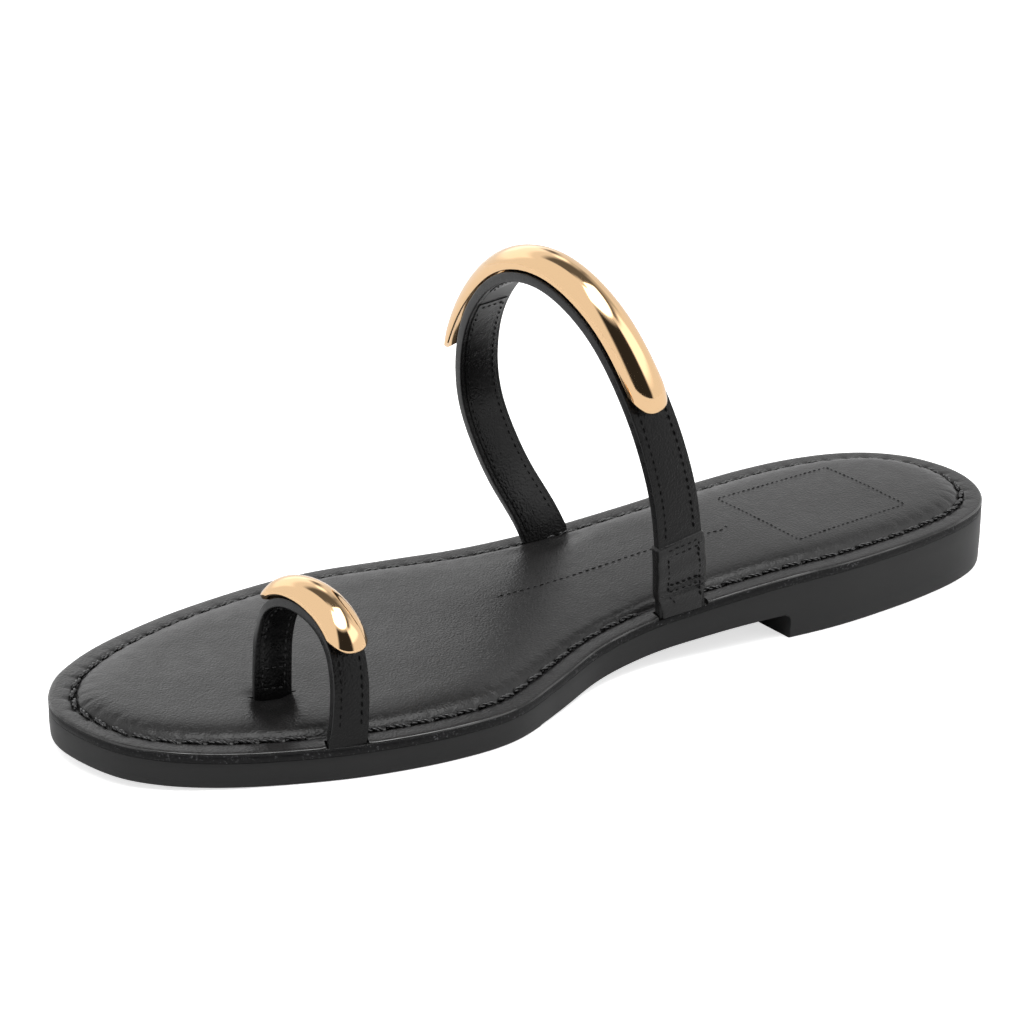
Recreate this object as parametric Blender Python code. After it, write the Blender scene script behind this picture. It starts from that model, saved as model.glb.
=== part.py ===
"""Right-foot toe loop sandal: a flat slide with a padded footbed, an instep strap and a big-toe loop.

Metres, +Z up. The toe points to -X, the heel to +X, the big-toe side is -Y and the little-toe side +Y.
The origin lies on the floor under the middle of the sole.
"""

import math

import bmesh
import bpy
import numpy as np
from mathutils import Vector

MM = 0.001
FIT_GAP = 0.3 * MM

# Driving sizes of the sole
LENGTH = 245.0 * MM
BALL_WIDTH = 87.8 * MM
BALL_THICKNESS = 8.2 * MM
HEEL_HEIGHT = 16.4 * MM
TOE_SPRING = 2.9 * MM
TREAD_SPRING = 2.5 * MM
TOE_SPRING_LENGTH = 41.0 * MM
TREAD_EDGE = 0.6 * MM

# The bed climbs from the ball to the heel between these two places
BED_RISE_START = -34.0 * MM
BED_RISE_END = 57.0 * MM

# The waist is cut away in front of the heel block, square to the heel's own axis
HEEL_TURN = math.radians(4.8)
WAIST_START = -30.0 * MM
HEEL_BREAST = 44.0 * MM
WAIST_THICKNESS = 7.8 * MM
BREAST_THICKNESS = 9.5 * MM
BREAST_FILLET = 2.0 * MM
WAIST_STEPS = 14
FILLET_STEPS = 3

# Layers over the outsole, and the profile of the padded cover from its border to its crown
BAND = 2.3 * MM
COVER = 0.9 * MM
BORDER_WIDTH = 5.5 * MM
PAD_PROFILE = (
    # inset from the sole's edge, height over the border
    {"inset": 0.0 * MM, "height": 0.0 * MM},
    {"inset": BORDER_WIDTH - 0.8 * MM, "height": 0.0 * MM},
    {"inset": BORDER_WIDTH, "height": -0.5 * MM},
    {"inset": BORDER_WIDTH + 0.9 * MM, "height": 0.5 * MM},
    {"inset": BORDER_WIDTH + 2.9 * MM, "height": 1.5 * MM},
    {"inset": BORDER_WIDTH + 6.5 * MM, "height": 2.1 * MM},
)
PAD_CROWN = 2.5 * MM

# Outline of the sole: along is a share of LENGTH from the toe, the two sides are shares of BALL_WIDTH
TOE_TIP_SIDE = 0.035
HEEL_END_SIDE = -0.048
OUTLINE = (
    {"along": 0.022, "lateral": 0.194, "medial": 0.171},
    {"along": 0.051, "lateral": 0.282, "medial": 0.257},
    {"along": 0.092, "lateral": 0.364, "medial": 0.327},
    {"along": 0.153, "lateral": 0.436, "medial": 0.400},
    {"along": 0.214, "lateral": 0.475, "medial": 0.459},
    {"along": 0.296, "lateral": 0.500, "medial": 0.500},
    {"along": 0.357, "lateral": 0.490, "medial": 0.495},
    {"along": 0.418, "lateral": 0.444, "medial": 0.426},
    {"along": 0.480, "lateral": 0.376, "medial": 0.354},
    {"along": 0.541, "lateral": 0.323, "medial": 0.335},
    {"along": 0.602, "lateral": 0.289, "medial": 0.353},
    {"along": 0.676, "lateral": 0.272, "medial": 0.378},
    {"along": 0.745, "lateral": 0.286, "medial": 0.392},
    {"along": 0.806, "lateral": 0.297, "medial": 0.385},
    {"along": 0.867, "lateral": 0.290, "medial": 0.366},
    {"along": 0.920, "lateral": 0.257, "medial": 0.333},
    {"along": 0.957, "lateral": 0.202, "medial": 0.284},
    {"along": 0.986, "lateral": 0.108, "medial": 0.192},
)
OUTLINE_STEPS = 10
SOLE_STATIONS = 34
CAP_STRIPS = 6

# Instep strap: middle of the leather from its near foot over the arch to its far foot, in millimetres.
# turn and tilt are the heading and the slope of its width, in degrees.
INSTEP_STRAP = {"width": 11.9 * MM, "thickness": 2.3 * MM, "sections": 44}
INSTEP_ROUTE = (
    {"x": 18.4, "y": -28.7, "z": 11.6, "turn": -9, "tilt": -1},
    {"x": 17.6, "y": -29.2, "z": 18.0, "turn": -5, "tilt": -1},
    {"x": 15.7, "y": -31.1, "z": 29.0, "turn": 0, "tilt": 0},
    {"x": 12.8, "y": -31.9, "z": 45.0, "turn": 4, "tilt": 1},
    {"x": 8.4, "y": -27.6, "z": 64.5, "turn": 8, "tilt": 2},
    {"x": 3.9, "y": -17.6, "z": 81.0, "turn": 11, "tilt": 3},
    {"x": 0.7, "y": -3.0, "z": 88.4, "turn": 12, "tilt": 4},
    {"x": -0.6, "y": 13.1, "z": 85.6, "turn": 11, "tilt": 5},
    {"x": 0.1, "y": 28.8, "z": 70.5, "turn": 10, "tilt": 6},
    {"x": 3.4, "y": 36.0, "z": 48.5, "turn": 8, "tilt": 7},
    {"x": 7.9, "y": 31.4, "z": 30.5, "turn": 5, "tilt": 7},
    {"x": 12.1, "y": 24.8, "z": 19.0, "turn": 1, "tilt": 5},
    {"x": 14.5, "y": 22.4, "z": 11.8, "turn": -5, "tilt": 0},
)
KEEPER = {"wall": 0.5 * MM, "height": 20.0 * MM, "sections": 8}

# Toe loop: the same columns, from its foot at the sole's edge to its foot in the slot of the footbed
TOE_STRAP = {"width": 8.4 * MM, "thickness": 2.2 * MM, "sections": 32}
TOE_ROUTE = (
    {"x": -73.5, "y": -37.9, "z": 7.3, "turn": -16, "tilt": -3},
    {"x": -73.0, "y": -38.4, "z": 14.0, "turn": -5, "tilt": -6},
    {"x": -72.4, "y": -37.8, "z": 22.4, "turn": 0, "tilt": -9},
    {"x": -72.2, "y": -35.6, "z": 28.6, "turn": 1, "tilt": -9},
    {"x": -72.6, "y": -31.5, "z": 32.6, "turn": 1, "tilt": -9},
    {"x": -73.7, "y": -25.7, "z": 34.6, "turn": 0, "tilt": -9},
    {"x": -75.2, "y": -19.4, "z": 34.0, "turn": -1, "tilt": -10},
    {"x": -76.6, "y": -15.1, "z": 30.8, "turn": -3, "tilt": -10},
    {"x": -77.6, "y": -13.4, "z": 24.8, "turn": -5, "tilt": -9},
    {"x": -78.2, "y": -13.2, "z": 17.3, "turn": -9, "tilt": -6},
    {"x": -78.7, "y": -13.4, "z": 7.4, "turn": -16, "tilt": 0},
)

# Metal bars: hollow half-round shells that ride on the outer face of the straps.
# start and end are shares of the strap's route, the tips are the lengths over which each end rounds off,
# the lifts are the gaps to the leather there, and side_shift moves the bar across the strap.
INSTEP_BAR = {
    "start": 0.272, "start_tip": 7.5 * MM, "start_lift": 0.4 * MM,
    "end": 0.733, "end_tip": 4.7 * MM, "end_lift": 3.6 * MM,
    "width": 9.8 * MM, "crown": 4.5 * MM, "wall": 1.0 * MM, "side_shift": -0.5 * MM, "sections": 32,
}
TOE_BAR = {
    "start": 0.303, "start_tip": 4.1 * MM, "start_lift": 0.7 * MM,
    "end": 0.680, "end_tip": 4.3 * MM, "end_lift": 2.0 * MM,
    "width": 9.3 * MM, "crown": 4.3 * MM, "wall": 0.9 * MM, "side_shift": 0.0 * MM, "sections": 24,
}
BAR_ARC_POINTS = 9
TIP_SHARE = 0.12

ROUTE_STEPS = 12
SLOT_DEPTH = 12.0 * MM
NOTCH_REACH = 12.0 * MM
SHARP_ANGLE = math.radians(35)

LOOKS = {
    "outsole_rubber": {"color": (0.030, 0.030, 0.031), "roughness": 0.55, "metallic": 0.0},
    "board_edge": {"color": (0.016, 0.017, 0.018), "roughness": 0.60, "metallic": 0.0},
    "footbed_leather": {"color": (0.050, 0.048, 0.047), "roughness": 0.42, "metallic": 0.0},
    "strap_leather": {"color": (0.020, 0.020, 0.021), "roughness": 0.40, "metallic": 0.0},
    "polished_gold": {"color": (0.830, 0.560, 0.280), "roughness": 0.12, "metallic": 1.0},
}


def clear_scene():
    for obj in list(bpy.data.objects):
        bpy.data.objects.remove(obj, do_unlink=True)


def material(name):
    look = LOOKS[name]
    made = bpy.data.materials.new(name)
    made.use_nodes = True
    shader = made.node_tree.nodes["Principled BSDF"]
    shader.inputs["Base Color"].default_value = (*look["color"], 1.0)
    shader.inputs["Roughness"].default_value = look["roughness"]
    shader.inputs["Metallic"].default_value = look["metallic"]
    return made


def smooth_step(share):
    share = min(max(share, 0.0), 1.0)
    return share * share * (3.0 - 2.0 * share)


def curve_through(points, per_span, closed=False):
    """Points on a smooth curve through all the given ones, with per_span steps from each to the next."""
    points = [np.array(p, float) for p in points]
    if closed:
        ring = [points[-1], *points, points[0], points[1]]
    else:
        ring = [2 * points[0] - points[1], *points, 2 * points[-1] - points[-2]]
    made = []
    for before, first, second, after in zip(ring, ring[1:], ring[2:], ring[3:]):
        times = [0.0]
        for a, b in ((before, first), (first, second), (second, after)):
            times.append(times[-1] + math.sqrt(np.linalg.norm(b - a)))
        for step in range(per_span):
            t = times[1] + (times[2] - times[1]) * step / per_span
            made.append(barry_goldman((before, first, second, after), times, t))
    if not closed:
        made.append(points[-1])
    return np.array(made)


def barry_goldman(points, times, t):
    """The centripetal curve's point at t, blended from its four neighbours."""
    level = list(points)
    for width in (1, 2, 2):
        spans = []
        for i in range(len(level) - 1):
            start, end = (times[i], times[i + width]) if len(level) > 2 else (times[1], times[2])
            spans.append(((end - t) * level[i] + (t - start) * level[i + 1]) / (end - start))
        level = spans
    return level[0]


def toe_lift(x, spring):
    """Height that the toe spring adds at x."""
    reach = (-LENGTH / 2 + TOE_SPRING_LENGTH - x) / TOE_SPRING_LENGTH
    return spring * max(reach, 0.0) ** 2


def tread_height(x):
    """Height of the tread over the floor at x."""
    return toe_lift(x, TREAD_SPRING)


def bed_height(x):
    """Height of the footbed's border at x."""
    climb = smooth_step((x - BED_RISE_START) / (BED_RISE_END - BED_RISE_START))
    return BALL_THICKNESS + (HEEL_HEIGHT - BALL_THICKNESS) * climb + toe_lift(x, TOE_SPRING)


def outline_curve():
    """Closed curve of the sole's edge, from the toe tip along the lateral side and back along the medial one."""
    def place(along, side):
        return ((along - 0.5) * LENGTH, side * BALL_WIDTH)

    lateral = [place(row["along"], row["lateral"]) for row in OUTLINE]
    medial = [place(row["along"], -row["medial"]) for row in reversed(OUTLINE)]
    tips = place(0.0, TOE_TIP_SIDE), place(1.0, HEEL_END_SIDE)
    return curve_through([tips[0], *lateral, tips[1], *medial], OUTLINE_STEPS, closed=True)


def inset_ring(inset):
    """(x, y) of the edge moved inwards: pairs of points face each other at the same x from toe to heel."""
    edge = outline_curve()
    along = np.roll(edge, -1, axis=0) - np.roll(edge, 1, axis=0)
    along /= np.linalg.norm(along, axis=1)[:, None]
    edge = edge + inset * np.column_stack((along[:, 1], -along[:, 0]))
    toe, heel = int(np.argmin(edge[:, 0])), int(np.argmax(edge[:, 0]))
    lateral = edge[toe:heel + 1] if toe < heel else np.vstack((edge[toe:], edge[:heel + 1]))
    medial = np.vstack((edge[heel:], edge[:toe + 1])) if toe < heel else edge[heel:toe + 1]
    medial = medial[::-1]
    turn = np.linspace(0.0, math.pi, SOLE_STATIONS + 1)[1:-1]
    x = edge[toe, 0] + (edge[heel, 0] - edge[toe, 0]) * (1 - np.cos(turn)) / 2
    left = np.column_stack((x, np.interp(x, lateral[:, 0], lateral[:, 1])))
    right = np.column_stack((x, np.interp(x, medial[:, 0], medial[:, 1])))
    return np.vstack((edge[toe], left, edge[heel], right[::-1]))


def raised(ring, height):
    """The ring's points with a height from a function of x."""
    return [Vector((x, y, height(x))) for x, y in ring]


def new_object(name, mesh_maker, look):
    mesh = bpy.data.meshes.new(name)
    bm = bmesh.new()
    mesh_maker(bm)
    bmesh.ops.recalc_face_normals(bm, faces=bm.faces)
    bm.to_mesh(mesh)
    bm.free()
    obj = bpy.data.objects.new(name, mesh)
    bpy.context.scene.collection.objects.link(obj)
    mesh.materials.append(look)
    mesh.shade_smooth()
    mesh.set_sharp_from_angle(angle=SHARP_ANGLE)
    return obj


def bridge(bm, first, second):
    """Quads between two closed loops of as many vertices."""
    count = len(first)
    for i in range(count):
        j = (i + 1) % count
        bm.faces.new((first[i], first[j], second[j], second[i]))


def close_sole(bm, loop, crown=0.0):
    """Fills a sole-shaped loop with strips across it, which rise to a crown along the middle."""
    half = len(loop) // 2
    rows = [[loop[0]]]
    for i in range(1, half):
        left, right = loop[i], loop[-i]
        row = [left]
        for step in range(1, CAP_STRIPS):
            share = step / CAP_STRIPS
            point = left.co.lerp(right.co, share)
            point.z += crown * math.sin(math.pi * share) * math.sin(math.pi * i / half) ** 0.5
            row.append(bm.verts.new(point))
        rows.append([*row, right])
    rows.append([loop[half]])
    for one, two in zip(rows, rows[1:]):
        for step in range(CAP_STRIPS):
            corners = [one[min(step, len(one) - 1)], one[min(step + 1, len(one) - 1)]]
            corners += [two[min(step + 1, len(two) - 1)], two[min(step, len(two) - 1)]]
            bm.faces.new(list(dict.fromkeys(corners)))


def stack_sole(bm, rings, crown=0.0):
    """Closed solid through sole-shaped rings from the underside to the top."""
    loops = [[bm.verts.new(point) for point in ring] for ring in rings]
    for lower, upper in zip(loops, loops[1:]):
        bridge(bm, lower, upper)
    close_sole(bm, loops[0])
    close_sole(bm, loops[-1], crown)


def make_waist_cutter():
    """Prism of the space under the waist, square to the heel's axis."""
    start, end = WAIST_START, HEEL_BREAST
    profile = [(start, -2 * MM)]
    for step in range(WAIST_STEPS + 1):
        x = start + (end - BREAST_FILLET - start) * step / WAIST_STEPS
        share = (x - start) / (end - start)
        thickness = WAIST_THICKNESS + (BREAST_THICKNESS - WAIST_THICKNESS) * share ** 3
        profile.append((x, bed_height(x) - thickness))
    top = profile[-1][1]
    for step in range(1, FILLET_STEPS + 1):
        turn = math.pi / 2 * step / FILLET_STEPS
        profile.append((
            end - BREAST_FILLET + BREAST_FILLET * math.sin(turn),
            top - BREAST_FILLET + BREAST_FILLET * math.cos(turn),
        ))
    profile.append((end, -2 * MM))

    def mesh_maker(bm):
        face = bm.faces.new([bm.verts.new((x, -BALL_WIDTH, z)) for x, z in profile])
        made = bmesh.ops.extrude_face_region(bm, geom=[face])
        moved = [item for item in made["geom"] if isinstance(item, bmesh.types.BMVert)]
        bmesh.ops.translate(bm, vec=(0, 2 * BALL_WIDTH, 0), verts=moved)

    cutter = new_object("waist_cutter", mesh_maker, bpy.data.materials["outsole_rubber"])
    cutter.rotation_euler.z = HEEL_TURN
    hide_helper(cutter)
    return cutter


def hide_helper(obj):
    obj.hide_render = True
    obj.display_type = "WIRE"


def cut(obj, cutter):
    modifier = obj.modifiers.new("cut " + cutter.name, "BOOLEAN")
    modifier.operation = "DIFFERENCE"
    modifier.solver = "EXACT"
    modifier.object = cutter


def make_outsole():
    """Outsole and heel block moulded in one, with an eased tread edge and the waist cut clear of the floor."""
    edge, eased = inset_ring(0.0), inset_ring(TREAD_EDGE)
    rings = (
        raised(eased, tread_height),
        raised(edge, lambda x: tread_height(x) + TREAD_EDGE),
        raised(edge, lambda x: bed_height(x) - BAND - FIT_GAP),
    )
    outsole = new_object("outsole", lambda bm: stack_sole(bm, rings), bpy.data.materials["outsole_rubber"])
    cut(outsole, make_waist_cutter())
    return outsole


def make_insole_board():
    """Flat board between the outsole and the leather cover; its painted edge is the dark band of the side."""
    edge = inset_ring(0.0)
    rings = (
        raised(edge, lambda x: bed_height(x) - BAND),
        raised(edge, lambda x: bed_height(x) - COVER - FIT_GAP),
    )
    return new_object("insole_board", lambda bm: stack_sole(bm, rings), bpy.data.materials["board_edge"])


def make_footbed():
    """Leather cover with a flat border, the stitch channel and the padded crown inside it."""
    rings = [raised(inset_ring(0.0), lambda x: bed_height(x) - COVER)]
    for row in PAD_PROFILE:
        rings.append(raised(inset_ring(row["inset"]), lambda x, rise=row["height"]: bed_height(x) + rise))
    crown = PAD_CROWN - PAD_PROFILE[-1]["height"]
    return new_object("footbed", lambda bm: stack_sole(bm, rings, crown), bpy.data.materials["footbed_leather"])


class Route:
    """Middle line of a strap with the directions of its width and of its outer face, by share of its length."""

    def __init__(self, rows):
        points = [[row[name] for name in ("x", "y", "z", "turn", "tilt")] for row in rows]
        dense = curve_through(points, ROUTE_STEPS)
        self.line = dense[:, :3] * MM
        self.turn = np.radians(dense[:, 3])
        self.tilt = np.radians(dense[:, 4])
        steps = np.linalg.norm(np.diff(self.line, axis=0), axis=1)
        self.length = steps.sum()
        self.shares = np.concatenate(([0.0], np.cumsum(steps))) / self.length

    def at(self, share):
        """(middle, width direction, outward direction) at a share of the length."""
        def read(values):
            return float(np.interp(share, self.shares, values))

        def place(where):
            return Vector([float(np.interp(where, self.shares, self.line[:, k])) for k in range(3)])

        near, far = max(share - 0.01, 0.0), min(share + 0.01, 1.0)
        along = (place(far) - place(near)).normalized()
        turn, tilt = read(self.turn), read(self.tilt)
        width = Vector((math.cos(tilt) * math.cos(turn), math.cos(tilt) * math.sin(turn), math.sin(tilt)))
        width = (width - along * width.dot(along)).normalized()
        return place(share), width, width.cross(along)

    def share_at_height(self, height):
        """Share of the length at which the rising first leg reaches a height."""
        first_leg = int(np.argmax(self.line[:, 2]))
        return float(np.interp(height, self.line[:first_leg, 2], self.shares[:first_leg]))


def strap_corners(width, thickness, ease):
    """Section of a strap with its four edges eased, as (across, out) pairs."""
    half, skin = width / 2, thickness / 2
    return (
        (-half + ease, -skin), (half - ease, -skin), (half, -skin + ease), (half, skin - ease),
        (half - ease, skin), (-half + ease, skin), (-half, skin - ease), (-half, -skin + ease),
    )


def sweep(bm, route, shares, sections):
    """Closed solid of one loop of (across, out) pairs for each share of the route."""
    loops = []
    for share, corners in zip(shares, sections):
        middle, width, out = route.at(share)
        loops.append([bm.verts.new(middle + width * a + out * b) for a, b in corners])
    for lower, upper in zip(loops, loops[1:]):
        bridge(bm, lower, upper)
    return loops


def stand_on_bed(loop, height):
    """Trims the end of a strap parallel to the footbed's border, at a height over it."""
    for vert in loop:
        vert.co.z = bed_height(vert.co.x) + height


def make_strap(name, rows, strap):
    """Flat leather strap, open between its two feet."""
    route = Route(rows)
    shares = np.linspace(0.0, 1.0, strap["sections"])
    corners = strap_corners(strap["width"], strap["thickness"], 0.4 * MM)

    def mesh_maker(bm):
        loops = sweep(bm, route, shares, [corners] * len(shares))
        for foot in (loops[0], loops[-1]):
            stand_on_bed(foot, -COVER)
            bm.faces.new(foot)

    return new_object(name, mesh_maker, bpy.data.materials["strap_leather"])


def make_keeper():
    """Leather tab wrapped round the near foot of the instep strap, standing on the border."""
    route = Route(INSTEP_ROUTE)
    foot = bed_height(route.at(0.0)[0].x) + FIT_GAP
    ends = route.share_at_height(foot), route.share_at_height(foot + KEEPER["height"])
    shares = np.linspace(*ends, KEEPER["sections"])
    inner = strap_corners(
        INSTEP_STRAP["width"] + 2 * FIT_GAP, INSTEP_STRAP["thickness"] + 2 * FIT_GAP, 0.3 * MM
    )
    grown = 2 * (FIT_GAP + KEEPER["wall"])
    outer = strap_corners(INSTEP_STRAP["width"] + grown, INSTEP_STRAP["thickness"] + grown, 0.7 * MM)

    def mesh_maker(bm):
        outside = sweep(bm, route, shares, [outer] * len(shares))
        inside = sweep(bm, route, shares, [inner] * len(shares))
        for foot in (outside[0], inside[0]):
            stand_on_bed(foot, FIT_GAP)
        bridge(bm, outside[0], inside[0])
        bridge(bm, outside[-1], inside[-1])

    return new_object("instep_keeper", mesh_maker, bpy.data.materials["strap_leather"])


def bar_section(bar, size, lift):
    """Section of the hollow half-round shell at a share of its full size: the outer arch, then the inner one."""
    width, crown, wall, shift = bar["width"] * size, bar["crown"] * size, bar["wall"], bar["side_shift"]
    turns = [math.pi * i / (BAR_ARC_POINTS - 1) for i in range(BAR_ARC_POINTS)]
    half, inner_half = width / 2, max(width / 2 - wall, 0.15 * width)
    inner_crown = max(crown - wall, 0.35 * crown)
    outer = [(shift - half * math.cos(turn), lift + crown * math.sin(turn)) for turn in turns]
    inner = [(shift + inner_half * math.cos(turn), lift + inner_crown * math.sin(turn)) for turn in turns]
    return outer + inner


def make_bar(name, rows, strap, bar):
    """Domed metal bar that follows the strap, with round tips that close down on the leather."""
    route = Route(rows)
    span = (bar["end"] - bar["start"]) * route.length
    turns = np.linspace(0.0, math.pi, bar["sections"])
    shares, sections = [], []
    for step in (1 - np.cos(turns)) / 2:
        at_end = step > 0.5
        reach = (1 - step) * span / bar["end_tip"] if at_end else step * span / bar["start_tip"]
        full = math.sqrt(max(1 - max(1 - reach, 0.0) ** 2, 0.0))
        size = TIP_SHARE + (1 - TIP_SHARE) * full
        hug = abs(2 * step - 1) ** 3
        end_gap = bar["end_lift"] if at_end else bar["start_lift"]
        lift = strap["thickness"] / 2 + FIT_GAP + (end_gap - FIT_GAP) * hug
        shares.append(bar["start"] + (bar["end"] - bar["start"]) * step)
        sections.append(bar_section(bar, size, lift))

    def mesh_maker(bm):
        loops = sweep(bm, route, shares, sections)
        bm.faces.new(loops[0])
        bm.faces.new(loops[-1])

    return new_object(name, mesh_maker, bpy.data.materials["polished_gold"])


def make_slot_cutter(name, route, share, size, reach):
    """Block round a strap's foot, FIT_GAP wider all round; reach lengthens it outwards past the sole's edge."""
    middle, width, out = route.at(share)
    width = Vector((width.x, width.y, 0)).normalized()
    out = Vector((out.x, out.y, 0)).normalized()
    half_width = size["width"] / 2 + 2 * FIT_GAP
    half_thick = size["thickness"] / 2 + 2 * FIT_GAP

    def mesh_maker(bm):
        corners = []
        for z in (-SLOT_DEPTH, SLOT_DEPTH):
            for a, b in ((-1, -half_thick), (1, -half_thick), (1, half_thick + reach), (-1, half_thick + reach)):
                corners.append(bm.verts.new(middle + width * a * half_width + out * b + Vector((0, 0, z))))
        bottom, top = corners[:4], corners[4:]
        bridge(bm, bottom, top)
        bm.faces.new(bottom)
        bm.faces.new(top)

    cutter = new_object(name, mesh_maker, bpy.data.materials["footbed_leather"])
    hide_helper(cutter)
    return cutter


def cut_slots(footbed):
    """Notches at the sole's edge for the near feet, and slots through the cover for the far ones."""
    instep, toe = Route(INSTEP_ROUTE), Route(TOE_ROUTE)
    for name, route, share, size, reach in (
        ("instep_notch", instep, 0.0, INSTEP_STRAP, NOTCH_REACH),
        ("instep_slot", instep, 1.0, INSTEP_STRAP, 0.0),
        ("toe_notch", toe, 0.0, TOE_STRAP, NOTCH_REACH),
        ("toe_slot", toe, 1.0, TOE_STRAP, 0.0),
    ):
        cut(footbed, make_slot_cutter(name, route, share, size, reach))


def main():
    clear_scene()
    for name in LOOKS:
        material(name)
    make_outsole()
    make_insole_board()
    cut_slots(make_footbed())
    make_strap("instep_strap", INSTEP_ROUTE, INSTEP_STRAP)
    make_keeper()
    make_bar("instep_bar", INSTEP_ROUTE, INSTEP_STRAP, INSTEP_BAR)
    make_strap("toe_strap", TOE_ROUTE, TOE_STRAP)
    make_bar("toe_bar", TOE_ROUTE, TOE_STRAP, TOE_BAR)


main()
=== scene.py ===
import math

import bmesh
import bpy
import numpy as np
from mathutils import Matrix, Vector
from mathutils.bvhtree import BVHTree


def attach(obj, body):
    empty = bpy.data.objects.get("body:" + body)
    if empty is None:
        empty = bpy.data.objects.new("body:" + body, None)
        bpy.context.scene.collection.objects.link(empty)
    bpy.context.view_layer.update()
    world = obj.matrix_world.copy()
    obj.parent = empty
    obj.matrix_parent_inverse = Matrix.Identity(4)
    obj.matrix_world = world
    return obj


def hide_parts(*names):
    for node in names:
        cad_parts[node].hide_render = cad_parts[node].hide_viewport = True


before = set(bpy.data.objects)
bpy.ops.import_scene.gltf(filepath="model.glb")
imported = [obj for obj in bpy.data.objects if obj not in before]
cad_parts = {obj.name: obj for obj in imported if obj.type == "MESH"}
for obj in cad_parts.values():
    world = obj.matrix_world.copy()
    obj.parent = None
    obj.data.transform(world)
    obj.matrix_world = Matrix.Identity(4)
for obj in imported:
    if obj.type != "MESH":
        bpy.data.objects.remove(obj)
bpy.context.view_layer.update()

mm = 0.001
rng = np.random.default_rng(7)

# sizes that shape the sole, in millimetres
sole = {
    "length": 245.0, "ballWidth": 87.8, "toeTipSide": 0.035, "heelEndSide": -0.048,
    "ballThickness": 8.2, "heelHeight": 16.4, "riseStart": -34.0, "riseEnd": 57.0,
    "bedSpring": 2.9, "treadSpring": 2.5, "springLength": 41.0,
    "cover": 0.9, "band": 2.3, "treadEdge": 0.6,
    "waistStart": -30.0, "heelBreast": 44.0, "waistThickness": 7.8, "breastThickness": 9.5,
    "breastFillet": 2.0, "heelTurn": math.radians(4.8),
}

# share of the length from the toe, then lateral and medial side as shares of the ball width
outlineRows = (
    (0.022, 0.194, 0.171), (0.051, 0.282, 0.257), (0.092, 0.364, 0.327), (0.153, 0.436, 0.400),
    (0.214, 0.475, 0.459), (0.296, 0.500, 0.500), (0.357, 0.490, 0.495), (0.418, 0.444, 0.426),
    (0.480, 0.376, 0.354), (0.541, 0.323, 0.335), (0.602, 0.289, 0.353), (0.676, 0.272, 0.378),
    (0.745, 0.286, 0.392), (0.806, 0.297, 0.385), (0.867, 0.290, 0.366), (0.920, 0.257, 0.333),
    (0.957, 0.202, 0.284), (0.986, 0.108, 0.192),
)

# middle line of each strap: x, y, z, heading and slope of the width in degrees
instepRows = (
    (18.4, -28.7, 11.6, -9, -1), (17.6, -29.2, 18.0, -5, -1), (15.7, -31.1, 29.0, 0, 0),
    (12.8, -31.9, 45.0, 4, 1), (8.4, -27.6, 64.5, 8, 2), (3.9, -17.6, 81.0, 11, 3),
    (0.7, -3.0, 88.4, 12, 4), (-0.6, 13.1, 85.6, 11, 5), (0.1, 28.8, 70.5, 10, 6),
    (3.4, 36.0, 48.5, 8, 7), (7.9, 31.4, 30.5, 5, 7), (12.1, 24.8, 19.0, 1, 5), (14.5, 22.4, 11.8, -5, 0),
)
toeRows = (
    (-73.5, -37.9, 7.3, -16, -3), (-73.0, -38.4, 14.0, -5, -6), (-72.4, -37.8, 22.4, 0, -9),
    (-72.2, -35.6, 28.6, 1, -9), (-72.6, -31.5, 32.6, 1, -9), (-73.7, -25.7, 34.6, 0, -9),
    (-75.2, -19.4, 34.0, -1, -10), (-76.6, -15.1, 30.8, -3, -10), (-77.6, -13.4, 24.8, -5, -9),
    (-78.2, -13.2, 17.3, -9, -6), (-78.7, -13.4, 7.4, -16, 0),
)

instepStrap = {"width": 11.9, "thickness": 2.3, "sections": 170, "relax": 60}
toeStrap = {"width": 8.4, "thickness": 2.2, "sections": 110, "relax": 14}


# small helpers for curves
def smoothStep(x, start, end):
    share = np.clip((np.asarray(x, float) - start) / (end - start), 0.0, 1.0)
    return share * share * (3.0 - 2.0 * share)


def bell(x, reach):  # 1 at nothing, and near 0 from twice the reach on
    return np.exp(-(x / reach) ** 2)


def blended(a, b, start, end, t):  # a where t is at the start, b where it is at the end
    return ((end - t) * a + (t - start) * b) / (end - start)


def curveThrough(points, perSpan, closed=False):  # centripetal curve through all the points
    points = np.array(points, float)
    if closed:
        ring = np.vstack((points[-1:], points, points[:2]))
    else:
        ring = np.vstack((2 * points[0] - points[1], points, 2 * points[-1] - points[-2]))
    made = []
    for k in range(len(ring) - 3):
        near = ring[k:k + 4]
        knots = np.concatenate(([0.0], np.cumsum(np.sqrt(np.linalg.norm(np.diff(near, axis=0), axis=1)))))
        for t in np.linspace(knots[1], knots[2], perSpan, endpoint=False):
            level = [blended(near[i], near[i + 1], knots[i], knots[i + 1], t) for i in range(3)]
            level = [blended(level[i], level[i + 1], knots[i], knots[i + 2], t) for i in range(2)]
            made.append(blended(*level, knots[1], knots[2], t))
    if not closed:
        made.append(points[-1])
    return np.array(made)


def distances(line):  # how far along the line each of its points lies
    return np.concatenate(([0.0], np.cumsum(np.linalg.norm(np.diff(line, axis=0), axis=1))))


def sampled(line, reach, wanted):  # the line's rows at the wanted distances
    return np.column_stack([np.interp(wanted, reach, column) for column in line.T])


def evenly(points, count, closed=False):  # the same curve in count points at equal distances
    line = np.vstack((points, points[:1])) if closed else points
    reach = distances(line)
    return sampled(line, reach, np.linspace(0.0, reach[-1], count, endpoint=not closed))


def relaxed(points, rounds, closed=False):
    points = points.copy()
    for _ in range(rounds):
        if closed:
            points = (np.roll(points, 1, 0) + 2 * points + np.roll(points, -1, 0)) / 4
        else:
            points[1:-1] = (points[:-2] + 2 * points[1:-1] + points[2:]) / 4
    return points


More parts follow.
